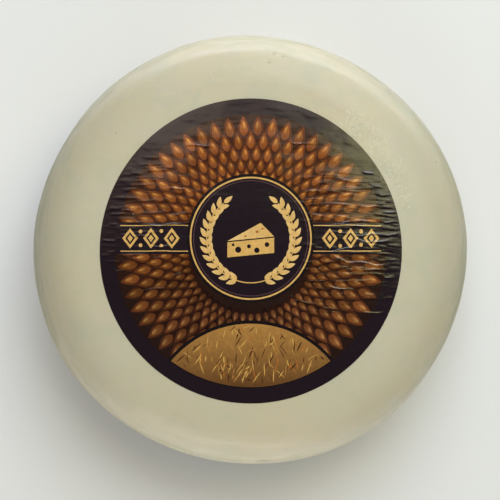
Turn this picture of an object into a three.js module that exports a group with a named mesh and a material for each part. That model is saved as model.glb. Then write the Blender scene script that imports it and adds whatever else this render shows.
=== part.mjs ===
// A wheel of goat-milk gouda: a low round cheese with a flat base, a faintly crowned top and bulging,
// round-shouldered sides, and the thin round label stuck to its top. Millimetres, +Z up. The origin is the
// middle of the footprint, on the surface the wheel rests on.
import * as THREE from 'three';

// The wheel's half section is five arcs. A tilt is the slope of the surface in degrees: 0 faces up, 90 faces
// out and 180 faces down.
const WHEEL_RADIUS = 125; // mean outline, at the widest level
const SHOULDER_RADIUS = 30; // the round from the top, or from the base, into the side
const SIDE_RADIUS = 61; // the bulge of the side
const SHOULDER_TILT = 62; // where the shoulder meets the bulge
const CROWN_TILT = 3; // where the crown of the top meets the shoulder

// The outline is a little out of round: each lobe adds its swell where its crests lie.
const OUTLINE_LOBES = [
  { count: 2, swell: 0.78, crest: -13 },
  { count: 3, swell: 0.3, crest: -35 },
  { count: 4, swell: 0.48, crest: 19 },
];

// One side has set thicker than the other, and the rim has shallow hollows where the wheel was handled.
const THICKER_BY = 0.8;
const THICKER_TOWARDS = 75; // degrees round from +X
const HOLLOWS = [
  { towards: 193, tilt: 48, depth: 0.9, spread: 26 },
  { towards: 338, tilt: 55, depth: 0.6, spread: 22 },
  { towards: 118, tilt: 100, depth: 0.7, spread: 24 },
];

// The label lies just off the middle of the top, and its wrinkles have drawn it a little out of round.
const LABEL_HALF_WIDTH = 83.7;
const LABEL_HALF_HEIGHT = 84.5;
const LABEL_THICKNESS = 0.4;
const LABEL_CENTRE = new THREE.Vector2(0.36, -0.28);
const LABEL_GAP = 0.3; // between the two solids

// Facets
const SEGMENTS = 72;
const CROWN_STEPS = 5;
const SHOULDER_STEPS = 8;
const SIDE_STEPS = 10;
const LABEL_RINGS = 4;
const BASE_ROUNDING = 1e-6; // a point lower than this lies on the flat base

const rad = THREE.MathUtils.degToRad;
const sin = (degrees) => Math.sin(rad(degrees));
const cos = (degrees) => Math.cos(rad(degrees));

// The arcs' centres, each tangent to the next, stacked up from the base.
const ARC_OFFSET = SIDE_RADIUS - SHOULDER_RADIUS;
const SHOULDER_CENTRE = WHEEL_RADIUS - SIDE_RADIUS + ARC_OFFSET * sin(SHOULDER_TILT);
const WAIST_HEIGHT = SHOULDER_RADIUS + ARC_OFFSET * cos(SHOULDER_TILT);
const UPPER_SHOULDER_HEIGHT = WAIST_HEIGHT + ARC_OFFSET * cos(SHOULDER_TILT);
const CROWN_EDGE = SHOULDER_CENTRE + SHOULDER_RADIUS * sin(CROWN_TILT);
const CROWN_RADIUS = CROWN_EDGE / sin(CROWN_TILT);
const CROWN_CENTRE_HEIGHT = UPPER_SHOULDER_HEIGHT + (SHOULDER_RADIUS - CROWN_RADIUS) * cos(CROWN_TILT);
const WHEEL_HEIGHT = CROWN_CENTRE_HEIGHT + CROWN_RADIUS;

// Points along an arc of the section, without the one it starts from.
function arc(centre, height, radius, fromTilt, toTilt, steps) {
  const points = [];
  for (let i = 1; i <= steps; i++) {
    const tilt = fromTilt + ((toTilt - fromTilt) * i) / steps;
    points.push(new THREE.Vector2(centre + radius * sin(tilt), height + radius * cos(tilt)));
  }
  return points;
}

// The wheel's half section, from the middle of the base out and round to the middle of the top.
function wheelSection() {
  const lowerTilt = 180 - SHOULDER_TILT;
  const crown = arc(0, CROWN_CENTRE_HEIGHT, CROWN_RADIUS, CROWN_TILT, 0, CROWN_STEPS);
  return [
    new THREE.Vector2(0, 0),
    new THREE.Vector2(SHOULDER_CENTRE, 0),
    ...arc(SHOULDER_CENTRE, SHOULDER_RADIUS, SHOULDER_RADIUS, 180, lowerTilt, SHOULDER_STEPS),
    ...arc(WHEEL_RADIUS - SIDE_RADIUS, WAIST_HEIGHT, SIDE_RADIUS, lowerTilt, SHOULDER_TILT, SIDE_STEPS),
    ...arc(SHOULDER_CENTRE, UPPER_SHOULDER_HEIGHT, SHOULDER_RADIUS, SHOULDER_TILT, CROWN_TILT, SHOULDER_STEPS),
    ...crown,
  ];
}

// How far the outline stands out from the mean circle, at an angle in radians.
function outlineSwell(angle) {
  return OUTLINE_LOBES.reduce(
    (sum, { count, swell, crest }) => sum + swell * Math.cos(count * (angle - rad(crest))),
    0,
  );
}

// How much the uneven thickness lifts a point of the wheel; the base stays flat.
function thicknessLift(radius, angle, height) {
  const lean = Math.cos(angle - rad(THICKER_TOWARDS));
  return THICKER_BY * lean * (radius / WHEEL_RADIUS) * (height / WHEEL_HEIGHT);
}

// Where a hollow's middle lies on the upper shoulder or the side, and which way it faces.
function hollowPlace({ towards, tilt }) {
  const outward = new THREE.Vector3(cos(towards) * sin(tilt), sin(towards) * sin(tilt), cos(tilt));
  const onShoulder = tilt < SHOULDER_TILT;
  const centre = onShoulder ? SHOULDER_CENTRE : WHEEL_RADIUS - SIDE_RADIUS;
  const height = onShoulder ? UPPER_SHOULDER_HEIGHT : WAIST_HEIGHT;
  const radius = onShoulder ? SHOULDER_RADIUS : SIDE_RADIUS;
  const middle = new THREE.Vector3(centre * cos(towards), centre * sin(towards), height);
  return { middle: middle.addScaledVector(outward, radius), outward };
}

// Presses the hollows into a point of the wheel.
function pressHollows(point) {
  const start = point.clone();
  for (const hollow of HOLLOWS) {
    const { middle, outward } = hollowPlace(hollow);
    const share = Math.exp(-((start.distanceTo(middle) / hollow.spread) ** 2));
    point.addScaledVector(outward, -hollow.depth * share);
  }
  return point;
}

// A section turned about Z, with each of its points then moved by place(point).
function turned(section, place) {
  const geometry = new THREE.LatheGeometry(section, SEGMENTS).rotateX(Math.PI / 2);
  const position = geometry.getAttribute('position');
  const point = new THREE.Vector3();
  for (let i = 0; i < position.count; i++) {
    const { x, y, z } = place(point.fromBufferAttribute(position, i));
    position.setXYZ(i, x, y, z);
  }
  geometry.computeVertexNormals();
  return geometry;
}

// Makes a point of the round section out of round and uneven.
function placeOnWheel(point) {
  const radius = Math.hypot(point.x, point.y);
  const angle = Math.atan2(point.y, point.x);
  const stretch = 1 + (outlineSwell(angle) * radius) / WHEEL_RADIUS ** 2;
  const onBase = point.z < BASE_ROUNDING;
  const height = onBase ? 0 : point.z + thicknessLift(radius, angle, point.z);
  point.set(point.x * stretch, point.y * stretch, height);
  return onBase ? point : pressHollows(point);
}

// The height of the crowned top over a point of the plan.
function topHeight(x, y) {
  const radius = Math.hypot(x, y);
  const height = CROWN_CENTRE_HEIGHT + Math.sqrt(CROWN_RADIUS ** 2 - radius ** 2);
  return height + thicknessLift(radius, Math.atan2(y, x), height);
}

// The label's half section, a flat disc 1 in radius, from the middle of its back to the middle of its face.
function labelSection() {
  const radii = Array.from({ length: LABEL_RINGS + 1 }, (_, i) => i / LABEL_RINGS);
  return [
    ...radii.map((radius) => new THREE.Vector2(radius, 0)),
    ...radii.reverse().map((radius) => new THREE.Vector2(radius, LABEL_THICKNESS)),
  ];
}

// Stretches the flat disc to the label's size and lays a point of it on the crowned top.
function placeOnLabel(point) {
  const x = point.x * LABEL_HALF_WIDTH + LABEL_CENTRE.x;
  const y = point.y * LABEL_HALF_HEIGHT + LABEL_CENTRE.y;
  return point.set(x, y, topHeight(x, y) + LABEL_GAP + point.z);
}

const wheel = new THREE.Mesh(
  turned(wheelSection(), placeOnWheel),
  new THREE.MeshStandardMaterial({ color: 0xd9d2b1, roughness: 0.42, metalness: 0 }),
);
wheel.name = 'cheese_wheel';

const label = new THREE.Mesh(
  turned(labelSection(), placeOnLabel),
  new THREE.MeshStandardMaterial({ color: 0x2e2127, roughness: 0.38, metalness: 0 }),
);
label.name = 'label';

// The footprint's middle becomes the origin.
wheel.geometry.computeBoundingBox();
const middle = wheel.geometry.boundingBox.getCenter(new THREE.Vector3());
const cheese = new THREE.Group();
cheese.add(wheel, label);
cheese.position.set(-middle.x, -middle.y, 0);

const part = new THREE.Group();
part.add(cheese);

export default part;
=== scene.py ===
# A wheel of goat-milk gouda in its clear satin coating, with the printed label on its top. Lengths are in
# millimetres until a mesh is made. +Z is up, and the origin is under the middle of the footprint.
import math
import random
from dataclasses import dataclass

import bpy
import numpy as np
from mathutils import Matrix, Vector, noise
from mathutils.geometry import delaunay_2d_cdt


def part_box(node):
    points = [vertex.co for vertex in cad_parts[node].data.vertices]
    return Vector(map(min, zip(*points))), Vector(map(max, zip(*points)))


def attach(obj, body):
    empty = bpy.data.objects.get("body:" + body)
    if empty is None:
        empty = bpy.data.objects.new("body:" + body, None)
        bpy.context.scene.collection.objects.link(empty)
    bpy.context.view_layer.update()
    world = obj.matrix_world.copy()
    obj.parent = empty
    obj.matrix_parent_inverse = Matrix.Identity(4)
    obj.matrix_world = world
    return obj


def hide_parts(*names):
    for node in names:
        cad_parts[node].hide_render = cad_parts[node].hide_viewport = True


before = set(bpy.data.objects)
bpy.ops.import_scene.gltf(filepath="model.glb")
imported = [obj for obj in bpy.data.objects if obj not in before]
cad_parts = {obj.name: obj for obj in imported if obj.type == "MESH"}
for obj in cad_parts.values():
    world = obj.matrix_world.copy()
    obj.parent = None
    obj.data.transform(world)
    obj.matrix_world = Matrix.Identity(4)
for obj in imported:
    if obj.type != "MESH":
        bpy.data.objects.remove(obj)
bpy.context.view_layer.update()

MM = 0.001
TURN = 2 * math.pi


# ---- The form of the wheel ----

# The half section is five arcs. A tilt is the slope of the surface: 0 faces up, 90 degrees faces out.
WHEEL_RADIUS = 125.0
SHOULDER_RADIUS = 30.0
SIDE_RADIUS = 61.0
SHOULDER_TILT = math.radians(62)
CROWN_TILT = math.radians(3)

ARC_OFFSET = SIDE_RADIUS - SHOULDER_RADIUS
SHOULDER_CENTRE = WHEEL_RADIUS - SIDE_RADIUS + ARC_OFFSET * math.sin(SHOULDER_TILT)
WAIST_HEIGHT = SHOULDER_RADIUS + ARC_OFFSET * math.cos(SHOULDER_TILT)
UPPER_SHOULDER_HEIGHT = WAIST_HEIGHT + ARC_OFFSET * math.cos(SHOULDER_TILT)
CROWN_RADIUS = SHOULDER_CENTRE / math.sin(CROWN_TILT) + SHOULDER_RADIUS
CROWN_CENTRE_HEIGHT = UPPER_SHOULDER_HEIGHT + (SHOULDER_RADIUS - CROWN_RADIUS) * math.cos(CROWN_TILT)
WHEEL_HEIGHT = CROWN_CENTRE_HEIGHT + CROWN_RADIUS

# The arcs by their centre's distance from the axis, its height and the radius.
CROWN = 0, CROWN_CENTRE_HEIGHT, CROWN_RADIUS
UPPER_SHOULDER = SHOULDER_CENTRE, UPPER_SHOULDER_HEIGHT, SHOULDER_RADIUS
SIDE = WHEEL_RADIUS - SIDE_RADIUS, WAIST_HEIGHT, SIDE_RADIUS
LOWER_SHOULDER = SHOULDER_CENTRE, SHOULDER_RADIUS, SHOULDER_RADIUS
BASE_ROUNDING = 1e-6  # a point lower than this lies on the flat base

# Lobes of the outline: how many, how far they swell, and where a crest lies in degrees round from +X.
OUTLINE_LOBES = [(2, 0.78, -13), (3, 0.3, -35), (4, 0.48, 19)]
THICKER_BY = 0.8
THICKER_TOWARDS = math.radians(75)
# Hollows of the rim: degrees round from +X, tilt in degrees, depth and spread.
HOLLOWS = [(193, 48, 0.9, 26), (338, 55, 0.6, 22), (118, 100, 0.7, 24)]

COLUMNS = 480
CROWN_ROWS = 12
SHOULDER_ROWS = 32
SIDE_ROWS = 52
BASE_ROWS = 8


def arc_rows(arc, start, end, count):
    """Rows of distance from the axis, height and tilt along an arc of the section, past its start."""
    centre, height, radius = arc
    tilts = np.linspace(start, end, count + 1)[1:]
    return np.column_stack([centre + radius * np.sin(tilts), height + radius * np.cos(tilts), tilts])


def wheel_section():
    """The half section's rows, from the middle of the top out and round to the middle of the base."""
    low_tilt = math.pi - SHOULDER_TILT
    base_radii = np.linspace(SHOULDER_CENTRE, 0, BASE_ROWS + 1)[1:-1]
    return np.vstack([
        arc_rows(CROWN, 0, CROWN_TILT, CROWN_ROWS),
        arc_rows(UPPER_SHOULDER, CROWN_TILT, SHOULDER_TILT, SHOULDER_ROWS),
        arc_rows(SIDE, SHOULDER_TILT, low_tilt, SIDE_ROWS),
        arc_rows(LOWER_SHOULDER, low_tilt, math.pi, SHOULDER_ROWS),
        [(radius, 0, math.pi) for radius in base_radii],
    ])


def polar(places):
    """The distance from the axis and the angle of each place of the plan."""
    return np.hypot(*places.T), np.arctan2(places[:, 1], places[:, 0])


def outward_way(angle, tilt):
    """The direction that faces out of the round section at an angle and a tilt."""
    return np.stack([np.cos(angle) * np.sin(tilt), np.sin(angle) * np.sin(tilt), np.cos(tilt)], axis=-1)


def crown_height(radius):
    return CROWN_CENTRE_HEIGHT + np.sqrt(CROWN_RADIUS ** 2 - radius ** 2)


def swell(radius, angle):
    """How far the lobes of the outline push a point outward."""
    lobes = sum(size * np.cos(n * (angle - math.radians(crest))) for n, size, crest in OUTLINE_LOBES)
    return lobes * (radius / WHEEL_RADIUS) ** 2


def thickness_lift(radius, angle, height):
    """How much the wheel's uneven thickness lifts a point."""
    lean = np.cos(angle - THICKER_TOWARDS)
    return THICKER_BY * lean * (radius / WHEEL_RADIUS) * (height / WHEEL_HEIGHT)


def press_hollows(points):
    """The points, pressed in where the wheel was held."""
    moved = points.copy()
    for azimuth, degrees, depth, spread in HOLLOWS:
        around, tilt = math.radians(azimuth), math.radians(degrees)
        centre, height, radius = UPPER_SHOULDER if tilt < SHOULDER_TILT else SIDE
        outward = outward_way(around, tilt)
        middle = outward * radius + [centre * math.cos(around), centre * math.sin(around), height]
        share = np.exp(-(np.linalg.norm(points - middle, axis=1) / spread) ** 2)
        moved -= share[:, None] * depth * outward
    return moved


def place_on_wheel(radius, angle, height):
    """Points of the round section, made out of round and uneven as the wheel is."""
    stretched = radius + swell(radius, angle)
    lifted = height + thickness_lift(radius, angle, height)
    points = np.column_stack([stretched * np.cos(angle), stretched * np.sin(angle), lifted])
    pressed = press_hollows(points)
    on_base = height < BASE_ROUNDING
    pressed[on_base] = points[on_base]
    return pressed


def waves(points, size, octaves=3):
    """Smooth noise about 0 at each point, with its largest waves about that size."""
    return np.array([noise.fractal(Vector(p) / size, 1.0, 2.0, octaves) for p in points])


def smooth_step(low, high, values):
    t = np.clip((values - low) / (high - low), 0, 1)
    return t * t * (3 - 2 * t)


def broad_relief(points):
    """The gentle unevenness of a hand-turned cheese, which its label follows too."""
    return 0.45 * waves(points, 70) * smooth_step(0, 10, points[:, 2])


def fine_relief(points):
    """The small unevenness of the bare rind."""
    return 0.05 * waves(points, 9)


# ---- Meshes ----


def new_piece(name, points, faces):
    """A smooth mesh object from points in millimetres."""
    mesh = bpy.data.meshes.new(name)
    mesh.from_pydata((np.asarray(points) * MM).tolist(), [], faces)
    mesh.shade_smooth()
    mesh.validate()
    piece = bpy.data.objects.new(name, mesh)
    bpy.context.scene.collection.objects.link(piece)
    return piece


def set_map(piece, places):
    """Gives the piece the map that its colours bake through: one place for each face corner."""
    layer = piece.data.uv_layers.new(name="OFBake")
    layer.uv.foreach_set("vector", np.asarray(places, np.float32).ravel())


def set_values(piece, name, values):
    """Gives the piece a named number for each vertex."""
    layer = piece.data.attributes.new(name, "FLOAT", "POINT")
    layer.data.foreach_set("value", values.astype(np.float32))


def read_numbers(items, name):
    """One whole number of each item of a mesh, such as the vertex of each face corner."""
    found = np.empty(len(items), np.int32)
    items.foreach_get(name, found)
    return found


# ---- The cheese ----

# Dents and pits of the rind: degrees round from +X, distance along the section from the middle of the top,
# width and depth.
MARKED_PITS = [
    (83, 114, 2.2, 0.45), (84, 107, 2.0, 0.3), (80, 112, 2.0, 0.4), (98, 118, 3.5, 0.3), (66, 121, 4.0, 0.3),
    (140, 104, 2.2, 0.22), (274, 130, 3.0, 0.5), (271, 128, 2.4, 0.35),
]
DENTS = 34
DENT_SEED = 11
DENT_DISTANCES = 98, 205
DENT_WIDTHS = 4, 13
DENT_DEPTHS = 0.06, 0.22

# Where the coating lies thicker and paler: x, y, spread in both directions and strength.
COATING_SMEARS = [
    (59, 69, 9, 6, 1.0), (71, 60, 6, 5, 0.8), (80, 41, 5, 8, 1.0), (86, 27, 4, 8, 0.8), (66, 57, 8, 5, 1.0),
    (75, 51, 4, 6, 0.7),
]

# The discs of the rind's map by their middle, across and up alike, and their radius.
UPPER_DISC = 0.35, 0.345
LOWER_DISC = 0.765, 0.23


def dents():
    """Every dent: the marked pits, then shallow ones all over the shoulder and side."""
    draw = random.Random(DENT_SEED)
    ranges = (0, 360), DENT_DISTANCES, DENT_WIDTHS, DENT_DEPTHS
    return MARKED_PITS + [[draw.uniform(*ends) for ends in ranges] for _ in range(DENTS)]


def section_lengths(section):
    """How far each row lies along the section from the middle of the top."""
    steps = np.diff(section[:, :2], axis=0, prepend=[(0, WHEEL_HEIGHT)])
    return np.cumsum(np.linalg.norm(steps, axis=1))


def rind_points(section, lengths):
    """The rind's points, row by row, with the wheel's middle moved to the origin."""
    angles = np.tile(np.arange(COLUMNS) * TURN / COLUMNS, len(section))
    radius, height, tilt = np.repeat(section, COLUMNS, axis=0).T
    along = np.repeat(lengths, COLUMNS)
    base_form = place_on_wheel(radius, angles, height)
    middle = (base_form.min(axis=0) + base_form.max(axis=0)) / 2
    middle[2] = 0
    points = base_form - middle
    off_base = smooth_step(0, 8, points[:, 2])
    relief = broad_relief(points) + fine_relief(points) * off_base
    for azimuth, distance, width, depth in dents():
        turn = np.abs((angles - math.radians(azimuth) + math.pi) % TURN - math.pi)
        apart = np.hypot(turn * radius, along - distance)
        # At its width a dent has faded to a thirteenth of its depth.
        relief -= depth * np.exp(-(apart / width * 1.6) ** 2) * off_base
    return points + relief[:, None] * outward_way(angles, tilt), middle


def ring_faces(rows):
    """Quads between neighbouring rows of the rind, and triangles to the two poles."""
    here = np.arange(COLUMNS)
    after = (here + 1) % COLUMNS
    faces = []
    for row in range(rows - 1):
        upper, lower = row * COLUMNS, (row + 1) * COLUMNS
        faces += np.column_stack([upper + here, lower + here, lower + after, upper + after]).tolist()
    top, bottom, last = rows * COLUMNS, rows * COLUMNS + 1, (rows - 1) * COLUMNS
    faces += [(top, int(i), int(j)) for i, j in zip(here, after)]
    faces += [(bottom, int(last + j), int(last + i)) for i, j in zip(here, after)]
    return faces


def rind_map(piece, lengths):
    """Lays the upper half of the rind out as a large disc and the lower half as a smaller one."""
    rows = len(lengths)
    total = lengths[-1] + SHOULDER_CENTRE / BASE_ROWS
    waist = CROWN_ROWS + SHOULDER_ROWS + SIDE_ROWS // 2 - 1
    vertex = read_numbers(piece.data.loops, "vertex_index")
    is_top_pole, is_bottom_pole = vertex == rows * COLUMNS, vertex == rows * COLUMNS + 1
    row = np.where(is_top_pole | is_bottom_pole, 0, vertex // COLUMNS)
    turn = (vertex % COLUMNS) * TURN / COLUMNS
    along = np.where(is_top_pole, 0, np.where(is_bottom_pole, total, lengths[row]))
    starts = read_numbers(piece.data.polygons, "loop_start")
    counts = read_numbers(piece.data.polygons, "loop_total")
    upper = np.repeat(np.maximum.reduceat(along, starts), counts) <= lengths[waist]
    reach = np.where(upper, along / lengths[waist], (total - along) / (total - lengths[waist]))
    middle, size = np.where(upper[:, None], UPPER_DISC, LOWER_DISC).T
    side = np.where(upper, 1, -1)
    set_map(piece, np.column_stack([
        middle + side * size * reach * np.cos(turn),
        middle + size * reach * np.sin(turn),
    ]))


def coating(points):
    """How thick and pale the coating lies at each point, from 0 to 1."""
    thick = np.zeros(len(points))
    for x, y, wide, tall, strength in COATING_SMEARS:
        thick += strength * np.exp(-((points[:, 0] - x) / wide) ** 2 - ((points[:, 1] - y) / tall) ** 2)
    return np.clip(thick, 0, 1) * (points[:, 2] > WAIST_HEIGHT)


def make_rind():
    """The whole cheese with its coated rind, and how far the wheel's middle was moved."""
    section = wheel_section()
    lengths = section_lengths(section)
    points, middle = rind_points(section, lengths)
    pole_heights = np.array([WHEEL_HEIGHT, 0.0])
    poles = place_on_wheel(np.zeros(2), np.zeros(2), pole_heights) - middle
    poles[0, 2] += broad_relief(poles)[0]
    points = np.vstack([points, poles])
    rind = new_piece("cheese_rind", points, ring_faces(len(section)))
    rind_map(rind, lengths)
    set_values(rind, "along", np.append(np.repeat(lengths, COLUMNS), [0, lengths[-1]]) * MM)
    set_values(rind, "coating", coating(points))
    return rind, middle


# ---- The label's print: a generic design of petals, lozenges, a hill, grain ears and a wedge of cheese ----


def ink(*levels):
    """A linear colour from the usual 0 to 255 values of red, green and blue."""
    shares = np.array(levels) / 255
    linear = np.where(shares <= 0.04045, shares / 12.92, ((shares + 0.055) / 1.055) ** 2.4)
    return np.append(linear, 1.0)


AUBERGINE = ink(30, 21, 27)
NIGHT = ink(23, 17, 19)
GAP = ink(36, 21, 17)
BROWN_GAP = ink(50, 26, 14)
CHESTNUT = ink(64, 33, 18)
AMBER = ink(120, 64, 28)
HONEY = ink(160, 98, 42)
GLEAM = ink(204, 146, 74)
GOLD = ink(204, 162, 94)
PALE_GOLD = ink(214, 180, 120)
MAUVE = ink(86, 60, 64)
OCHRE = ink(162, 118, 62)
STRAW = ink(190, 148, 78)
UMBER = ink(90, 58, 31)

RING_WIDTH = 8.6
PETAL_ROWS = 6
PETALS = 54
PETAL_SPREAD = 0.885  # each row's radius against the one outside it
PETAL_SEED = 21
BAND_MIDDLE = 7.0
BAND_HALF = 8.8
RULE = 0.5
RULE_INSET = 1.5
LOZENGES = 3
FIRST_LOZENGE = 8.4  # out from the medallion's rim
LOZENGE_STEP = 11.6
LOZENGE_LAYERS = [(4.4, 5.6, GOLD), (2.7, 3.5, AUBERGINE), (1.5, 2.0, GOLD)]
DOT_RISE = 3.9
DOT_RADIUS = 1.05
HILL_TOP = -40.0
HILL_RADIUS = 58.0
HILL_BORDER = 1.8
STRAWS = 150
STRAW_SEED = 5
MEDALLION_RADIUS = 35.5
MEDALLION_CENTRE = np.array([0.0, BAND_MIDDLE])
# The medallion's rings: how far in from its rim each starts, and its colour.
MEDALLION_RINGS = [(0, NIGHT), (1.6, GOLD), (2.5, AUBERGINE), (3.6, MAUVE), (3.95, AUBERGINE)]
STEM_RADIUS = 24.5
STEM_HALF_WIDTH = 0.3
GRAINS = 12
FIRST_GRAIN = 18  # degrees round from the medallion's foot
GRAIN_STEP = 10.4
GRAIN_LENGTH = 6.0
GRAIN_LEAN = 0.62
WEDGE_DEPTH = 9.0
# The wedge's eyes, from the medallion's centre: x, y and radius, in its front and in its top.
FRONT_EYES = [(-7, -6.3, 1.7), (-1, -4.4, 1.1), (3.4, -6.6, 1.5), (9.0, -3.4, 1.3), (-9.8, -3.6, 0.8)]
TOP_EYES = [(3.5, 3.6, 0.9), (6.5, 5.2, 0.7), (-3.0, 1.2, 0.7)]


@dataclass
class Shape:
    """A printed shape: its outline and its colour, which runs from near to far between two points."""

    outline: np.ndarray
    near: np.ndarray
    far: np.ndarray
    start: np.ndarray
    end: np.ndarray


def shape(outline, near, far=None, start=(0, 0), end=(0, 1)):
    far = near if far is None else far
    return Shape(np.asarray(outline, float), near, far, np.asarray(start, float), np.asarray(end, float))


def towards(degrees):
    return np.array([math.cos(math.radians(degrees)), math.sin(math.radians(degrees))])


def unit(way):
    return way / np.linalg.norm(way)


def circle(centre, radius, count):
    angles = np.arange(count) * TURN / count
    return np.asarray(centre) + radius * np.column_stack([np.cos(angles), np.sin(angles)])


def leaf(base, tip, half_width, blunt=0.75, count=9):
    """A pointed oval from base to tip, fuller towards its base the smaller blunt is."""
    along = tip - base
    across = unit(np.array([-along[1], along[0]]))
    t = np.linspace(0, 1, count + 1)
    width = half_width * np.sin(math.pi * t ** blunt) ** 0.8
    left = base + t[:, None] * along + width[:, None] * across
    right = base + t[1:-1, None] * along - width[1:-1, None] * across
    return np.vstack([left, right[::-1]])


def leaf_shape(base, tip, half_width, near, far, *form):
    """A printed leaf whose colour runs from its base to its tip."""
    return shape(leaf(base, tip, half_width, *form), near, far, base, tip)


def petal_shapes(field_radius):
    """Rows of petals that point outward, each row lying over the one outside it. They darken downwards."""
    shapes = []
    draw = random.Random(PETAL_SEED)
    tip = field_radius - 1.0
    for row in range(PETAL_ROWS):
        length = 1.75 * tip * (1 - PETAL_SPREAD)
        half_width = 0.47 * TURN * (tip - length / 2) / PETALS
        for i in range(PETALS):
            way = towards((i + 0.5 * (row % 2)) * 360 / PETALS)
            right, up, down = (max(0, part) for part in (way[0], way[1], -way[1]))
            if up:
                lit = 0.83 + 0.12 * up - 0.05 * right
            else:
                lit = max(0.48 + 0.2 * right, 0.8 - 0.95 * down)
            tone = draw.uniform(0.72, 1.16) * lit * (1.06 - 0.035 * row)
            tint = tone * np.array([1, 1 - 0.1 * up + 0.12 * down, 1 - 0.25 * up + 0.9 * down, 1])
            dark, middle, light, bright = (colour * tint for colour in (CHESTNUT, AMBER, HONEY, GLEAM))
            dark = dark * (1 - 0.3 * down)
            base, end = way * (tip - length), way * tip
            shapes.append(shape(leaf(base, end, half_width), dark, middle, base + 0.25 * (end - base), end))
            base, end = way * (tip - 0.74 * length), way * (tip - 0.14 * length)
            shapes.append(leaf_shape(base, end, 0.6 * half_width, middle, light))
            # A gleam near the tip, on whichever side of the petal faces up.
            aside = np.array([-way[1], way[0]]) * half_width * 0.16 * math.copysign(1, way[0])
            base, end = way * (tip - 0.5 * length) + aside, way * (tip - 0.2 * length) + 0.6 * aside
            shapes.append(leaf_shape(base, end, 0.2 * half_width, light, bright, 1.0, 5))
        tip *= PETAL_SPREAD
    return shapes


def rectangle(x0, y0, x1, y1):
    return [(x0, y0), (x1, y0), (x1, y1), (x0, y1)]


def band_shapes(label_radius, field_radius):
    """A dark band across the label with two rules and a row of lozenges on either side."""
    reach = math.sqrt(label_radius ** 2 - (BAND_MIDDLE + BAND_HALF) ** 2) - 1
    low, high = BAND_MIDDLE - BAND_HALF, BAND_MIDDLE + BAND_HALF
    shapes = [shape(rectangle(-reach, low, reach, high), AUBERGINE)]
    rule_reach = field_radius - 3
    for y in (low + RULE_INSET, high - RULE_INSET - RULE):
        shapes.append(shape(rectangle(-rule_reach, y, rule_reach, y + RULE), GOLD))
    for side in (-1, 1):
        for i in range(LOZENGES):
            x, y = side * (MEDALLION_RADIUS + FIRST_LOZENGE + LOZENGE_STEP * i), BAND_MIDDLE
            for half_wide, half_high, colour in LOZENGE_LAYERS:
                outline = [(x - half_wide, y), (x, y - half_high), (x + half_wide, y), (x, y + half_high)]
                shapes.append(shape(outline, colour))
            if i < LOZENGES - 1:
                for rise in (-DOT_RISE, DOT_RISE):
                    dot = circle((x + side * LOZENGE_STEP / 2, y + rise), DOT_RADIUS, 12)
                    shapes.append(shape(dot, GOLD))
    return shapes


def hill(field_radius, top, radius):
    """The foot of a disc that lies under a round hilltop."""
    drop = radius - top
    foot = (field_radius ** 2 - radius ** 2 + drop ** 2) / (2 * drop)
    low_half = math.acos(foot / field_radius)
    high_half = math.asin(field_radius * math.sin(low_half) / radius)
    low = np.linspace(-low_half, low_half, 60) - math.pi / 2
    high = np.linspace(-high_half, high_half, 60)[1:-1] + math.pi / 2
    return np.vstack([
        field_radius * np.column_stack([np.cos(low), np.sin(low)]),
        radius * np.column_stack([np.cos(high), np.sin(high)]) - [0, drop],
    ])


def hill_shapes(field_radius):
    """A straw-strewn hill at the foot of the label, under a dark border."""
    border = hill(field_radius + 0.3, HILL_TOP + HILL_BORDER, HILL_RADIUS + HILL_BORDER)
    ground = hill(field_radius - 0.4, HILL_TOP, HILL_RADIUS)
    shapes = [
        shape(border, NIGHT),
        shape(ground, UMBER, OCHRE, (0, -field_radius), (0, HILL_TOP)),
    ]
    centre = np.array([0, HILL_TOP - HILL_RADIUS])
    draw = random.Random(STRAW_SEED)
    inks = [STRAW, STRAW, OCHRE, UMBER, CHESTNUT, HONEY]
    while len(shapes) < STRAWS + 2:
        middle = np.array([draw.uniform(-45, 45), draw.uniform(-field_radius, HILL_TOP)])
        way = towards(draw.gauss(82, 28)) * draw.uniform(1.6, 4.6)
        ends = middle - way, middle + way
        colour = inks[draw.randrange(len(inks))]
        in_field = all(np.hypot(*end) < field_radius - 0.8 for end in ends)
        if in_field and all(np.hypot(*(end - centre)) < HILL_RADIUS - 0.3 for end in ends):
            shapes.append(shape(leaf(*ends, draw.uniform(0.22, 0.42), 1.0, 4), colour))
    return shapes


def ear_shapes(side):
    """An ear of grain that curves up one side of the medallion."""
    def on_stem(degrees, aside=0):
        return MEDALLION_CENTRE + (STEM_RADIUS + aside) * towards(degrees - 90) * [side, 1]

    def grain(foot, way, half_width):
        return leaf_shape(foot, foot + GRAIN_LENGTH * way, half_width, GOLD, PALE_GOLD)

    turns = range(-6, 146, 4)
    outer = [on_stem(turn, STEM_HALF_WIDTH) for turn in turns]
    inner = [on_stem(turn, -STEM_HALF_WIDTH) for turn in turns]
    shapes = [shape(outer + inner[::-1], GOLD)]
    for i in range(GRAINS):
        at = FIRST_GRAIN + GRAIN_STEP * i
        root = on_stem(at)
        along = unit(on_stem(at + 1) - root)
        for lean in (GRAIN_LEAN, -GRAIN_LEAN):
            way = unit(along + lean * unit(root - MEDALLION_CENTRE))
            shapes.append(grain(root + 0.5 * way, way, 1.35))
    last = FIRST_GRAIN + GRAIN_STEP * GRAINS
    tip = on_stem(last)
    shapes.append(grain(tip, unit(tip - on_stem(last - 2)), 1.3))
    return shapes


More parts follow.
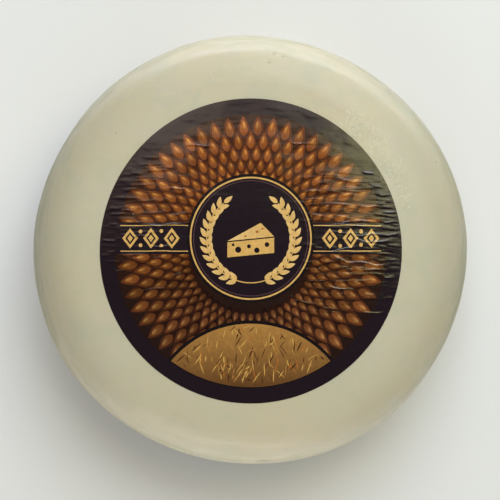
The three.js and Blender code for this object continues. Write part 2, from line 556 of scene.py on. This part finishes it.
def wedge_shapes():
    """A plain wedge of cheese with a few eyes, in the middle of the medallion."""
    left, right, back = (MEDALLION_CENTRE + corner for corner in ((-13, -1.5), (13, 1.0), (5.5, 8.5)))

    def below_top(depth):
        return [left, left - [0, depth], right - [0, depth], right]

    shapes = [
        shape(below_top(WEDGE_DEPTH), GOLD),
        shape([left, right, back], PALE_GOLD, GOLD, left, right),
        shape(below_top(0.7), AUBERGINE),
    ]
    for x, y, radius in FRONT_EYES:
        shapes.append(shape(MEDALLION_CENTRE + circle((x, y), radius, 16), AUBERGINE))
    for x, y, radius in TOP_EYES:
        flattened = circle((0, 0), radius, 14) * [1, 0.8]
        shapes.append(shape(MEDALLION_CENTRE + (x, y) + flattened, HONEY))
    return shapes


def medallion_shapes():
    """A dark medallion over the band, with a gold ring, a fine line, two ears of grain and a wedge."""
    shapes = []
    for inset, colour in MEDALLION_RINGS:
        shapes.append(shape(circle(MEDALLION_CENTRE, MEDALLION_RADIUS - inset, 110), colour))
    return shapes + ear_shapes(-1) + ear_shapes(1) + wedge_shapes()


def print_shapes(radius):
    """Every printed shape, each lying over those before it."""
    field_radius = radius - RING_WIDTH
    field = circle((0, 0), field_radius, 240)
    return [
        shape(field, GAP, BROWN_GAP, (0, -0.4 * field_radius), (0, 0.4 * field_radius)),
        *petal_shapes(field_radius),
        *hill_shapes(field_radius),
        *band_shapes(radius, field_radius),
        *medallion_shapes(),
    ]


# ---- The label ----

LABEL_RIM_POINTS = 520
GRID_ACROSS = 1.3
GRID_UP = 0.36
EDGE_STEP = 0.9  # the longest piece of a printed edge
MERGE_WITHIN = 1e-5  # points closer than this become one
PAPER = 0.14
# The discs of the label's map by their middle and radius.
FACE_DISC = 0.42, 0.41
BACK_DISC = 0.92, 0.06

# Patches of fine, nearly level creases: from and to across and up as shares of the radius, how many creases,
# and the least and greatest height, length and width.
CREASED_PATCHES = [
    (0.86, 0.95, -0.18, 0.50, 46, 0.08, 0.19, 3, 9, 0.36, 0.5),
    (0.36, 0.90, -0.40, 0.52, 130, 0.03, 0.13, 5, 20, 0.40, 0.75),
    (-0.97, -0.60, -0.15, 0.62, 60, 0.03, 0.10, 6, 16, 0.40, 0.75),
    (-0.80, 0.80, -0.90, 0.50, 60, 0.01, 0.035, 14, 60, 0.8, 1.4),
    (-0.50, 0.55, 0.55, 0.95, 40, 0.01, 0.04, 12, 26, 1.2, 2.8),
]
CREASE_SEED = 3
WAVER_LENGTH = 16.0
WAVER_REACH = 18.0  # a crease longer than this strays no further
GATHER = 1.6  # how far the film is drawn in beside a crease, against the crease's height
LONG_WIDTH = 0.5
# The creases that stand out: the ends and the height.
LONG_CREASES = [
    (51.3, 16.2, 66.8, 16.8, 0.20), (57.4, 13.9, 62.4, 13.8, 0.20), (58.2, 8.8, 82.0, 9.4, 0.22),
    (57.4, 6.8, 65.1, 4.6, 0.20), (65.1, 4.4, 77.3, 6.0, 0.24), (44.1, 0.0, 56.3, 1.8, 0.22),
    (74.5, 21.5, 80.0, 21.2, 0.24), (74.8, 15.7, 80.0, 16.2, 0.20), (46.3, -3.1, 52.0, -5.3, 0.20),
    (50.5, -5.5, 73.0, -7.5, 0.24), (61.0, -10.2, 71.2, -10.7, 0.18), (74.0, -14.8, 79.0, -14.8, 0.24),
    (44.1, -19.7, 56.0, -21.5, 0.18), (62.9, -23.9, 68.8, -23.9, 0.14), (62.4, -34.0, 73.3, -34.0, 0.18),
    (40.3, -33.5, 48.6, -34.0, 0.14), (62.9, 43.1, 68.2, 43.0, 0.20), (66.9, 36.4, 71.9, 35.4, 0.18),
    (71.2, 30.8, 74.6, 30.2, 0.18), (60.7, 24.5, 70.4, 24.9, 0.16), (-82.5, 5.7, -76.4, 5.7, 0.20),
    (-79.7, -0.9, -76.4, -0.8, 0.14), (-75.8, -11.1, -70.3, -10.6, 0.12), (-43.5, -13.9, -39.0, -12.0, 0.20),
    (-60.5, -22.1, -48.2, -20.1, 0.16), (-65.3, 8.5, -57.6, 8.1, 0.16), (-77.6, 20.5, -70.9, 20.3, 0.20),
    (-78.6, 14.6, -75.2, 14.6, 0.14), (-71.2, 22.7, -64.9, 22.7, 0.16), (-58.7, 14.2, -39.3, 14.6, 0.16),
    (-55.0, 2.2, -45.5, 3.0, 0.14), (-65.6, 36.4, -57.6, 36.4, 0.16), (-47.6, 34.3, -36.7, 34.3, 0.16),
    (-44.1, 19.9, -36.4, 20.9, 0.14), (-35.5, 58.2, -22.2, 58.0, 0.13), (23.1, 59.6, 34.0, 58.8, 0.13),
]


def inside(outline, points):
    """Which of the points lie inside a closed outline."""
    x, y = points.T
    found = np.zeros(len(points), bool)
    for (x0, y0), (x1, y1) in zip(outline, np.roll(outline, -1, axis=0)):
        if y0 == y1:
            continue
        crosses = (y0 > y) != (y1 > y)
        found ^= crosses & (x < (x1 - x0) * (y - y0) / (y1 - y0) + x0)
    return found


def topmost(shapes, points):
    """The last shape that holds each point, or -1 for the bare ground."""
    found = np.full(len(points), -1)
    for index, printed in enumerate(shapes):
        low, high = printed.outline.min(axis=0), printed.outline.max(axis=0)
        near = np.flatnonzero(((points >= low) & (points <= high)).all(axis=1))
        found[near[inside(printed.outline, points[near])]] = index
    return found


def finely(outline):
    """A closed outline with points added, so that its edges bend with the creases."""
    points = []
    for start, end in zip(outline, np.roll(outline, -1, axis=0)):
        pieces = max(1, math.ceil(np.linalg.norm(end - start) / EDGE_STEP))
        points += [start + (end - start) * i / pieces for i in range(pieces)]
    return points


def label_grid(radius):
    """Staggered rows of points inside the label, closer together up the wrinkles than along them."""
    points = []
    for row, y in enumerate(np.arange(-radius + GRID_UP, radius, GRID_UP)):
        reach = math.sqrt(max((radius - 0.5) ** 2 - y * y, 0))
        start = -radius + (row % 2) * GRID_ACROSS / 2
        x = np.arange(start, radius, GRID_ACROSS)
        points += [(v, y) for v in x[np.abs(x) < reach]]
    return points


def creases(radius):
    """Every crease of the label: the ones that stand out, then the fine ones in their patches.

    Each has a middle, slope, length, height, width, waver, phase and whether the film is drawn in beside it.
    """
    draw = random.Random(CREASE_SEED)
    found = []
    for x0, y0, x1, y1, height in LONG_CREASES:
        middle, slope, length = ((x0 + x1) / 2, (y0 + y1) / 2), (y1 - y0) / (x1 - x0), 1.15 * (x1 - x0)
        waver, phase = 0.025 * min(length, WAVER_REACH), draw.uniform(0, TURN)
        found.append((middle, slope, length, height, LONG_WIDTH, waver, phase, True))
    for left, right, low, high, count, least, most, shortest, longest, thin, thick in CREASED_PATCHES:
        for _ in range(count):
            middle = draw.uniform(left, right) * radius, draw.uniform(low, high) * radius
            slope = math.tan(math.radians(draw.gauss(-1.5 if middle[0] > 0 else 1.5, 3.5)))
            length, height = draw.uniform(shortest, longest), draw.uniform(least, most)
            width = draw.uniform(thin, thick)
            waver, phase = draw.uniform(0, 0.03) * min(length, WAVER_REACH), draw.uniform(0, TURN)
            found.append((middle, slope, length, height, width, waver, phase, False))
    return found


def stretched_waves(x, y, long, tall, layer):
    """Smooth noise about 0 with waves that long and tall, from a layer of its own."""
    return waves(np.column_stack([x / long, y / tall, np.full(len(x), layer)]), 1.0)


def creased_film(places, radius):
    """The film's height in its creases, the shade painted just below each, and how far it is drawn up."""
    x, y = places.T
    height, painted_crease_shade, drawn = np.zeros((3, len(places)))
    for middle, slope, length, crest, width, waver, phase, gathers in creases(radius):
        along = x - middle[0]
        stray = waver * np.sin(TURN * along / WAVER_LENGTH + phase)
        apart = y - middle[1] - slope * along - stray
        across = apart / width
        fade = crest * np.exp(-(along / length * 2) ** 4)
        height = np.maximum(height, fade * np.exp(-across ** 2))
        # Painted shade: a dark line painted just below each crease, on its side away from the light.
        painted_crease_shade = np.maximum(painted_crease_shade, fade * np.exp(-((across + 0.95) / 0.6) ** 2))
        if gathers:
            drawn -= GATHER * fade * np.tanh(across) * np.exp(-(apart / 5) ** 2)
    # Level ripples cover the label, and turn into broad swirls towards its top.
    swirled = smooth_step(0.35, 0.6, y / radius)
    ripples = stretched_waves(x, y, 14, 2.6, 4.0)
    swirls = stretched_waves(x, y, 13, 7, 9.0)
    height += 0.015 + (0.025 - 0.018 * swirled) * ripples + 0.045 * swirled * swirls
    # The film lies flat along the label's rim.
    inward = smooth_step(0.1, 2.2, radius - np.hypot(x, y))
    return height * inward, painted_crease_shade * inward, drawn * inward


def ruffled(places, radius):
    """How finely the film is ruffled at each point, from 0 to 1: most at its right, a little at its left."""
    x, y = (places / radius).T
    level = smooth_step(-0.55, -0.15, y) * smooth_step(0.62, 0.42, y)
    to_the_right = 0.85 * smooth_step(0.25, 0.6, x)
    to_the_left = 0.3 * smooth_step(-0.4, -0.75, x)
    return np.clip(0.15 + level * (to_the_right + to_the_left), 0, 1)


def on_top(places, wheel_middle):
    """Points on the crowned, uneven top over places of the plan."""
    radius, angle = polar(places + wheel_middle[:2])
    height = crown_height(radius)
    points = np.column_stack([places, height + thickness_lift(radius, angle, height)])
    points[:, 2] += broad_relief(points)
    return points


def cut_sheet(shapes, radius):
    """The flat label, cut into triangles along the edges of its printed shapes: points and faces."""
    outlines = [circle((0, 0), radius, LABEL_RIM_POINTS)]
    outlines += [finely(printed.outline) for printed in shapes]
    places, edges = [], []
    for outline in outlines:
        first, count = len(places), len(outline)
        places += [Vector(p) for p in outline]
        edges += [(first + i, first + (i + 1) % count) for i in range(count)]
    places += [Vector(p) for p in label_grid(radius)]
    flat, _, faces, *_ = delaunay_2d_cdt(places, edges, [], 0, MERGE_WITHIN, False)
    return np.array(flat), np.array(faces)


def closing_faces(rim, first):
    """Quads from the rim to a skirt whose points start at first, and triangles to the point after it."""
    skirt = first + np.arange(len(rim))
    after = np.roll(skirt, -1)
    quads = np.column_stack([rim, skirt, after, np.roll(rim, -1)])
    triangles = np.column_stack([after, skirt, np.full(len(rim), first + len(rim))])
    return quads.tolist() + triangles.tolist()


def make_label(wheel_middle):
    """The printed label, a thin sheet stuck to the crown, with its wrinkles and its colours."""
    low, high = (np.array(corner)[:2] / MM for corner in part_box("label"))
    centre = (low + high) / 2
    radius = float(np.mean(high - low)) / 2
    stretch = (high - low) / 2 / radius
    shapes = print_shapes(radius)
    flat, faces = cut_sheet(shapes, radius)
    stand_off, painted_crease_shade, drawn = creased_film(flat, radius)
    laid = flat * stretch + centre
    laid[:, 1] += drawn
    face_side = on_top(laid, wheel_middle)
    face_side[:, 2] += PAPER + stand_off
    rim = np.flatnonzero(np.hypot(*flat.T) > radius - 0.02)
    rim = rim[np.argsort(np.arctan2(flat[rim, 1], flat[rim, 0]))]
    skirt = on_top(flat[rim] * stretch * (1 + 0.05 / radius) + centre, wheel_middle) - [0, 0, 0.1]
    back = on_top(centre[None], wheel_middle) - [0, 0, 0.6]
    points = np.vstack([face_side, skirt, back])
    label = new_piece("printed_label", points, faces.tolist() + closing_faces(rim, len(flat)))
    sharpen(label, len(faces))
    colour_label(label, shapes, flat[faces])
    hidden = np.zeros(len(rim) + 1)
    # The shade painted below the creases goes to the material as a named number.
    set_values(label, "painted_crease_shade", np.append(painted_crease_shade, hidden))
    set_values(label, "ruffled", np.append(ruffled(flat, radius), hidden))
    map_places = np.vstack([flat, flat[rim] * 1.012, [(0, 0)]]) / radius
    label_map(label, map_places, 3 * len(faces) + 4 * len(rim))
    return label


def sharpen(label, face_count):
    """Makes every edge past the label's face sharp, so that the face is shaded evenly up to its rim."""
    edge_of = read_numbers(label.data.loops, "edge_index")
    sharp = np.zeros(len(label.data.edges), bool)
    sharp[edge_of[3 * face_count:]] = True
    label.data.attributes.new("sharp_edge", "BOOLEAN", "EDGE").data.foreach_set("value", sharp)


def colour_label(label, shapes, corners):
    """Gives the corners of the label's face the print's colours, and all others the ground's."""
    colours = np.tile(AUBERGINE, (len(label.data.loops), 1))
    face_colours = colours[:3 * len(corners)].reshape(-1, 3, 4)
    face_shape = topmost(shapes, corners.mean(axis=1))
    for index in np.unique(face_shape[face_shape >= 0]):
        printed = shapes[index]
        chosen = face_shape == index
        axis = printed.end - printed.start
        share = np.clip((corners[chosen] - printed.start) @ axis / (axis @ axis), 0, 1)[..., None]
        face_colours[chosen] = printed.near + share * (printed.far - printed.near)
    layer = label.data.color_attributes.new("print", "FLOAT_COLOR", "CORNER")
    layer.data.foreach_set("color", colours.astype(np.float32).ravel())


def label_map(label, places, front_corners):
    """Lays the label's face out as one large disc and its hidden back as a small one beside it."""
    vertex = read_numbers(label.data.loops, "vertex_index")
    front = np.arange(len(vertex))[:, None] < front_corners
    middle, size = np.where(front, FACE_DISC, BACK_DISC).T[..., None]
    set_map(label, middle + size * places[vertex] * np.where(front, 1, [-1, 1]))


# ---- Flakes of dried coating ----

FLAKE_SEED = 8
# Clusters along the label's upper right edge: x, y, reach in both directions and how many flakes.
FLAKE_CLUSTERS = [
    (58, 72, 5, 3, 16), (64, 67, 6, 3, 20), (71, 62, 5, 3, 14), (75, 47, 2, 3, 8), (81, 42, 3, 5, 26),
    (86, 29, 3, 6, 18),
]
FLAKE_STEPS = 7
FLAKE_STEP = 0.25, 0.6
FLAKE_HALF_WIDTH = 0.45, 1.1
FLAKE_HEIGHT = 0.009, 0.022
HAIRLINE = [(-22.9, 102.7), (-22.5, 99.7), (-21.3, 96.8), (-19.9, 94.2)]
EDGE_DROP = 0.03  # how far the edges of a flake reach into the rind


def ribbon(path, half_width, tall, wheel_middle):
    """The points and faces of a thin closed ridge that lies on the top along a path."""
    path = np.asarray(path, float)
    ways = np.gradient(path, axis=0)
    ways /= np.linalg.norm(ways, axis=1)[:, None]
    across = np.column_stack([-ways[:, 1], ways[:, 0]])
    full = np.sin(math.pi * np.linspace(0, 1, len(path)).clip(0.04, 0.96))
    width = half_width * full[:, None] ** 0.5
    middle = rind_surface(path, wheel_middle)
    middle[:, 2] += tall * full
    left = rind_surface(path + across * width, wheel_middle) - [0, 0, EDGE_DROP]
    right = rind_surface(path - across * width, wheel_middle) - [0, 0, EDGE_DROP]
    points = np.stack([left, middle, right], axis=1).reshape(-1, 3)
    faces = [(2, 1, 0)]
    last = len(points) - 3
    for a in range(0, last, 3):
        faces += [(a, a + 1, a + 4, a + 3), (a + 1, a + 2, a + 5, a + 4), (a + 2, a, a + 3, a + 5)]
    return points, faces + [(last, last + 1, last + 2)]


def rind_surface(places, wheel_middle):
    """Points on the rind over places of the plan, out to the side of the wheel."""
    shifted = places + wheel_middle[:2]
    radius, angle = polar(shifted)
    radius -= swell(radius, angle)
    reach = np.clip(radius - SHOULDER_CENTRE, 0, SHOULDER_RADIUS * math.sin(SHOULDER_TILT))
    shoulder = UPPER_SHOULDER_HEIGHT + np.sqrt(SHOULDER_RADIUS ** 2 - reach ** 2)
    height = np.where(radius < CROWN_RADIUS * math.sin(CROWN_TILT), crown_height(radius), shoulder)
    height += thickness_lift(radius, angle, height)
    points = press_hollows(np.column_stack([shifted, height])) - wheel_middle
    points[:, 2] += broad_relief(points) + fine_relief(points)
    return points


def make_flakes(wheel_middle):
    """Thin pale flakes and a hairline of dried coating, joined in one mesh."""
    draw = random.Random(FLAKE_SEED)
    points, faces = [], []

    def add(path, half_width, tall):
        new_points, new_faces = ribbon(path, half_width, tall, wheel_middle)
        first = len(points)
        points.extend(new_points.tolist())
        faces.extend(tuple(first + v for v in face) for face in new_faces)

    for x, y, wide, high, count in FLAKE_CLUSTERS:
        for _ in range(count):
            at = np.array([draw.gauss(x, wide / 1.6), draw.gauss(y, high / 1.6)])
            heading = math.degrees(math.atan2(at[1], at[0])) + 90 + draw.gauss(0, 28)
            path = [at]
            step = draw.uniform(*FLAKE_STEP)
            turn = draw.gauss(0, 14)
            for _ in range(FLAKE_STEPS):
                heading += turn + draw.gauss(0, 16)
                path.append(path[-1] + step * towards(heading))
            add(path, draw.uniform(*FLAKE_HALF_WIDTH), draw.uniform(*FLAKE_HEIGHT))
    bends = range(len(HAIRLINE))
    steps = np.linspace(0, bends[-1], 4 * bends[-1] + 1)
    add(np.column_stack([np.interp(steps, bends, line) for line in zip(*HAIRLINE)]), 0.16, 0.02)
    flakes = new_piece("coating_flakes", points, faces)
    flakes.data.set_sharp_from_angle(angle=math.radians(50))
    return flakes


# ---- Materials ----


class Finish:
    """A material and a short way to add its nodes."""

    def __init__(self, name):
        self.material = bpy.data.materials.new(name)
        self.material.use_nodes = True
        self.tree = self.material.node_tree
        self.shader = self.tree.nodes["Principled BSDF"]

    def add(self, kind, inputs=None, **settings):
        made = self.tree.nodes.new("ShaderNode" + kind)
        for key, value in settings.items():
            setattr(made, key, value)
        self.feed(made, inputs or {})
        return made

    def feed(self, node, inputs):
        for key, value in inputs.items():
            if isinstance(value, bpy.types.NodeSocket):
                self.tree.links.new(value, node.inputs[key])
            else:
                node.inputs[key].default_value = value

    def noise(self, place, scale, detail=3.0, roughness=0.5, distortion=0.0):
        """Noise from 0 to 1 at a place given in metres, with waves of 1 / scale metres."""
        inputs = {"Vector": place, "Scale": scale, "Detail": detail, "Roughness": roughness}
        return self.add("TexNoise", {**inputs, "Distortion": distortion}).outputs["Fac"]

    def ranged(self, value, low, high, new_low=0.0, new_high=1.0):
        """The value, with low to high mapped to new_low to new_high."""
        inputs = {"Value": value, "From Min": low, "From Max": high, "To Min": new_low, "To Max": new_high}
        return self.add("MapRange", inputs).outputs["Result"]

    def maths(self, operation, a, b=0.0):
        return self.add("Math", {0: a, 1: b}, operation=operation).outputs[0]

    def vectors(self, operation, a, b=(0, 0, 0), output="Vector"):
        return self.add("VectorMath", {0: a, 1: b}, operation=operation).outputs[output]

    def scaled(self, place, x, y, z):
        return self.vectors("MULTIPLY", place, (x, y, z))

    def attribute(self, name, output="Fac"):
        return self.add("Attribute", attribute_name=name).outputs[output]

    def mixed(self, share, a, b, blend="MIX"):
        """Colour a with a share of colour b over it."""
        # Of the node's many sockets, inputs 0, 6 and 7 and output 2 are the ones for colours.
        return self.add("Mix", {0: share, 6: a, 7: b}, data_type="RGBA", blend_type=blend).outputs[2]

    def bump(self, height, millimetres, below=None):
        """A normal that stands that far out where the height is 1."""
        inputs = {"Height": height, "Distance": millimetres * MM, "Strength": 1.0}
        if below is not None:
            inputs["Normal"] = below
        return self.add("Bump", inputs).outputs["Normal"]


IVORY = ink(182, 177, 154)
CREAM = ink(186, 176, 148)
SAGE = ink(171, 172, 150)
BLUSH = ink(186, 176, 157)
HORN = ink(160, 156, 126)
# The colour of the shade painted on the rim's left and right.
SIDE_SHADE = ink(138, 134, 106)
SPECK = ink(112, 100, 76)
PALE_COAT = ink(207, 200, 167)
DRIED_COAT = ink(197, 190, 161)

# Small brown marks on the upper side of the rim: x, y, half width, half height and strength.
MARKS = [
    (13.4, 109.7, 1.4, 0.9, 0.5), (10.6, 104.4, 1.1, 0.9, 0.35), (18.4, 108.0, 1.0, 0.8, 0.3),
    (7.5, -120.2, 4.6, 1.0, 0.4),
]


def marked(finish, place):
    """How strongly the rind is marked at a place."""
    ragged = finish.ranged(finish.noise(place, 1100, 3, 0.6), 0.3, 0.7, -0.4, 0.4)
    found = 0.0
    for x, y, half_width, half_height, strength in MARKS:
        apart = finish.vectors("SUBTRACT", place, (x * MM, y * MM, 0))
        scaled = finish.scaled(apart, 1 / (half_width * MM), 1 / (half_height * MM), 0)
        reach = finish.vectors("LENGTH", scaled, output="Value")
        near = finish.ranged(finish.maths("ADD", reach, ragged), 0.3, 1.1, strength, 0)
        found = finish.maths("ADD", near, found)
    height = finish.add("SeparateXYZ", {"Vector": place}).outputs["Z"]
    return finish.maths("MULTIPLY", found, finish.maths("GREATER_THAN", height, WAIST_HEIGHT * MM))


def specks(finish, place):
    """Small specks strewn over the rind, from 0 to 1."""
    cells = finish.add("TexVoronoi", {"Vector": place, "Scale": 95.0})
    chosen = finish.add("SeparateColor", {"Color": cells.outputs["Color"]}).outputs["Red"]
    return finish.maths("LESS_THAN", cells.outputs["Distance"], finish.ranged(chosen, 0.7, 1.0, 0.0, 0.085))


def rind_colour(finish, place, layers):
    """Ivory to cream, with the rind's clouds, then the layers, then its specks and marks over it."""
    broad = finish.noise(place, 16, 4)
    cloudy = finish.noise(place, 55, 5, 0.6, 0.5)
    patchy = finish.noise(finish.vectors("ADD", place, (0.3, 0.7, 0.2)), 70, 4, 0.55, 0.4)
    colour = finish.mixed(finish.ranged(broad, 0.35, 0.65), tuple(IVORY), tuple(CREAM))
    for share, over in (
        (finish.ranged(cloudy, 0.5, 0.7, 0, 0.6), SAGE),
        (finish.ranged(patchy, 0.5, 0.7, 0, 0.6), BLUSH),
        *layers,
        (finish.maths("MULTIPLY", specks(finish, place), 0.45), SPECK),
        (marked(finish, place), SPECK),
    ):
        colour = finish.mixed(share, colour, tuple(over))
    return colour


def rind_finish():
    """Pale ivory cheese under a thin clear satin coating, with faint streaks along the rim."""
    finish = Finish("coated_rind")
    place = finish.add("TexCoord").outputs["Object"]
    along = finish.attribute("along")

    # Streaks run round the wheel: their place is a direction in the plan and a length along the section.
    way = finish.vectors("NORMALIZE", finish.scaled(place, 1, 1, 0))
    lift = finish.add("CombineXYZ", {"Z": finish.maths("MULTIPLY", along, 90)}).outputs[0]
    streaks = finish.noise(finish.vectors("ADD", finish.scaled(way, 3.5, 3.5, 0), lift), 1.6, 4, 0.6, 0.4)
    # They are strongest at the rim and fade down the side.
    rimward = finish.ranged(along, 114 * MM, 134 * MM)
    banded = finish.maths("MULTIPLY", rimward, finish.ranged(streaks, 0.4, 0.62, 0.1, 0.75))
    banded = finish.maths("MULTIPLY", banded, finish.ranged(along, 138 * MM, 160 * MM, 1, 0.45))
    # Painted shade: the rim is painted a little browner to the left and right, where it lies in shade.
    sideways = finish.maths("ABSOLUTE", finish.add("SeparateXYZ", {"Vector": way}).outputs["Y"])
    painted_side_shade = finish.ranged(along, 122 * MM, 136 * MM, 0, finish.ranged(sideways, 0.35, 0.8, 0.35, 0.0))
    strokes = finish.ranged(finish.noise(place, 260, 5, 0.65, 1.8), 0.42, 0.66, 0.1, 1)
    smear = finish.maths("MULTIPLY", finish.attribute("coating"), strokes)
    smeared = finish.maths("MULTIPLY", smear, 0.75)

    lumps = finish.noise(place, 230, 3, 0.6)
    normal = None
    for height, millimetres in (
        (streaks, 0.22),
        (finish.noise(place, 170, 4, 0.55), 0.10),
        (finish.maths("MULTIPLY", lumps, rimward), 0.16),
        (finish.noise(place, 900, 3), 0.018),
        (smear, 0.06),
    ):
        normal = finish.bump(height, millimetres, normal)

    # The coating lies thin over the top and pools, with a ragged edge, from the shoulder down. It is rubbed
    # off to the left and right.
    pool = finish.maths("ADD", along, finish.ranged(lumps, 0.3, 0.7, -4 * MM, 4 * MM))
    pooled = finish.ranged(pool, 108 * MM, 116 * MM, 0, finish.ranged(sideways, 0.35, 0.75, 0.0, 0.56))
    roughness = finish.ranged(streaks, 0.3, 0.7, 0.46, 0.62)
    roughness = finish.maths("ADD", roughness, finish.maths("MULTIPLY", smear, 0.12))
    finish.feed(finish.shader, {
        "Base Color": rind_colour(finish, place, [(banded, HORN), (painted_side_shade, SIDE_SHADE), (smeared, PALE_COAT)]),
        "Roughness": roughness,
        "Normal": normal,
        "IOR": 1.46,
        "Subsurface Weight": 0.25,
        "Subsurface Radius": (1.0, 0.62, 0.32),
        "Subsurface Scale": 4 * MM,
        "Coat Weight": finish.maths("ADD", pooled, 0.1),
        "Coat Roughness": 0.27,
        "Coat Normal": normal,
    })
    return finish.material


def label_finish():
    """Printed paper under a glossy film, with fine level creases and shade painted just below them."""
    finish = Finish("printed_label")
    place = finish.add("TexCoord").outputs["Object"]
    mottle = finish.noise(place, 420, 4, 0.6)
    # Painted shade darkens the print just below each crease, and a random mottle varies its tone too.
    crease_shading = finish.ranged(finish.attribute("painted_crease_shade"), 0.02, 0.16, 1, 0.35)
    shade = finish.maths("MULTIPLY", finish.ranged(mottle, 0.3, 0.7, 0.86, 1.12), crease_shading)
    tint = finish.add("CombineColor", {"Red": shade, "Green": shade, "Blue": shade}).outputs[0]

    creases = finish.noise(finish.scaled(place, 0.16, 1, 1), 520, 4, 0.6, 0.6)
    fibres = finish.noise(place, 1500, 2)
    normal = finish.bump(finish.maths("MULTIPLY", creases, finish.attribute("ruffled")), 0.11)
    normal = finish.bump(fibres, 0.008, normal)
    finish.feed(finish.shader, {
        "Base Color": finish.mixed(1.0, finish.attribute("print", "Color"), tint, "MULTIPLY"),
        "Roughness": finish.ranged(mottle, 0.3, 0.7, 0.46, 0.56),
        "Specular IOR Level": 0.0,
        "Normal": normal,
        "Coat Weight": 1.0,
        "Coat Roughness": 0.13,
        "Coat Normal": normal,
    })
    return finish.material


def flake_finish():
    """Dried coating: whiter and duller than the rind."""
    finish = Finish("dried_coating")
    place = finish.add("TexCoord").outputs["Object"]
    mottle = finish.noise(place, 600, 3)
    colour = finish.mixed(finish.ranged(mottle, 0.35, 0.65), tuple(DRIED_COAT), tuple(PALE_COAT))
    finish.feed(finish.shader, {
        "Base Color": colour,
        "Roughness": finish.ranged(mottle, 0.3, 0.7, 0.5, 0.7),
        "Normal": finish.bump(mottle, 0.02),
        "Subsurface Weight": 0.2,
        "Subsurface Radius": (1.0, 0.7, 0.4),
        "Subsurface Scale": 1.5 * MM,
    })
    return finish.material


# ---- Stage, lights and camera, in metres ----

CAMERA_ABOVE_WAIST = 0.8915
CAMERA_LENS = 110.0
FLOOR_RADIUS = 5.0
FLOOR_POINTS = 96

# Soft lights: degrees round from +X, degrees above the floor, distance, width, height, power and colour.
SOFT_LIGHTS = {
    "window": (78, 50, 1.5, 2.0, 1.2, 12.4, (1.03, 1.0, 0.73)),
    "window_middle": (78, 50, 1.45, 0.87, 1.16, 9.5, (0.83, 1.0, 1.36)),
    "top_right": (33, 76, 1.5, 0.24, 0.2, 0.56, (1.05, 1.0, 0.46)),
    "top_middle": (69, 76, 1.5, 0.24, 0.2, 0.18, (1.15, 1.0, 0.8)),
    "top_left": (123, 76.5, 1.5, 0.29, 0.2, 0.23, (1.15, 1.0, 0.8)),
    "right": (35, 60, 1.5, 0.8, 0.8, 4.0, (1.1, 1.0, 0.65)),
    "upper_left": (125, 66, 1.5, 0.9, 0.7, 0.7, (1.7, 1.0, 0.7)),
    "left_fill": (168, 38, 1.5, 1.0, 0.7, 1.3, (1.0, 1.0, 1.05)),
    "right_fill": (342, 38, 1.5, 1.0, 0.7, 0.9, (1.0, 1.0, 1.05)),
    "back": (262, 35, 1.5, 2.2, 1.4, 6.2, (0.76, 1.0, 1.05)),
    "foot": (262, 14, 1.5, 1.4, 0.6, 10.6, (1.13, 1.0, 0.9)),
}
# Cards that glow on the floor and light the rim from below: place, width and depth, power and colour.
CARDS = {
    "far_card": (0.12, 0.60, 0.8, 0.5, 5.0, (0.95, 1.0, 1.15)),
    "near_card": (0.07, 0.26, 0.5, 0.18, 0.16, (1.1, 1.0, 0.85)),
    "back_card": (-0.08, -0.55, 0.8, 0.5, 0.6, (1.0, 1.0, 1.0)),
    "foot_card": (-0.05, -0.24, 0.3, 0.14, 0.055, (1.1, 1.0, 0.85)),
}
CARD_LIFT = 0.002
WORLD_STRENGTH = 0.03


def add_light(name, place, aim, size, power, colour):
    """A rectangle of light at a place that faces the way it is aimed, which the camera doesn't see."""
    data = bpy.data.lights.new(name, "AREA")
    data.shape = "RECTANGLE"
    data.size, data.size_y = size
    data.energy = power
    data.color = colour
    light = bpy.data.objects.new(name, data)
    light.location = place
    light.rotation_euler = aim.to_track_quat("-Z", "Y").to_euler()
    light.visible_camera = False
    bpy.context.scene.collection.objects.link(light)


def add_soft_light(name, around, above, distance, width, height, power, colour):
    place = Vector(distance * outward_way(math.radians(around), math.radians(90 - above)))
    add_light(name, place, Vector((0, 0, WAIST_HEIGHT * MM)) - place, (width, height), power, colour)


def add_floor():
    """A plain pale floor."""
    outline = circle((0, 0), FLOOR_RADIUS / MM, FLOOR_POINTS)
    points = np.column_stack([outline, np.zeros(FLOOR_POINTS)])
    floor = new_piece("floor", points, [tuple(range(FLOOR_POINTS))])
    finish = Finish("floor")
    finish.feed(finish.shader, {
        "Base Color": (0.72, 0.72, 0.72, 1),
        "Roughness": 0.8,
        "Specular IOR Level": 0.2,
    })
    floor.data.materials.append(finish.material)


def add_camera():
    data = bpy.data.cameras.new("camera")
    data.lens = CAMERA_LENS
    data.clip_start, data.clip_end = 0.01, 20
    camera = bpy.data.objects.new("camera", data)
    camera.location = (0, 0, WAIST_HEIGHT * MM + CAMERA_ABOVE_WAIST)
    bpy.context.scene.collection.objects.link(camera)
    bpy.context.scene.camera = camera


def add_world():
    world = bpy.data.worlds.new("studio")
    world.use_nodes = True
    background = world.node_tree.nodes["Background"]
    background.inputs["Color"].default_value = (1, 1, 1, 1)
    background.inputs["Strength"].default_value = WORLD_STRENGTH
    bpy.context.scene.world = world


# ---- Putting it together ----

add_camera()
add_world()
add_floor()
for light_name, facts in SOFT_LIGHTS.items():
    add_soft_light(light_name, *facts)
for card_name, (x, y, width, depth, power, colour) in CARDS.items():
    add_light(card_name, Vector((x, y, CARD_LIFT)), Vector((0, 0, 1)), (width, depth), power, colour)
bpy.context.scene.view_settings.view_transform = "Standard"

rind, wheel_middle = make_rind()
label = make_label(wheel_middle)
flakes = make_flakes(wheel_middle)

for piece, finish, slot in (
    (rind, rind_finish(), "coated_rind"),
    (label, label_finish(), "printed_label"),
    (flakes, flake_finish(), "coated_rind"),
):
    piece.data.materials.append(finish)
    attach(piece, "root")
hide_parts("cheese_wheel")
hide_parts("label")
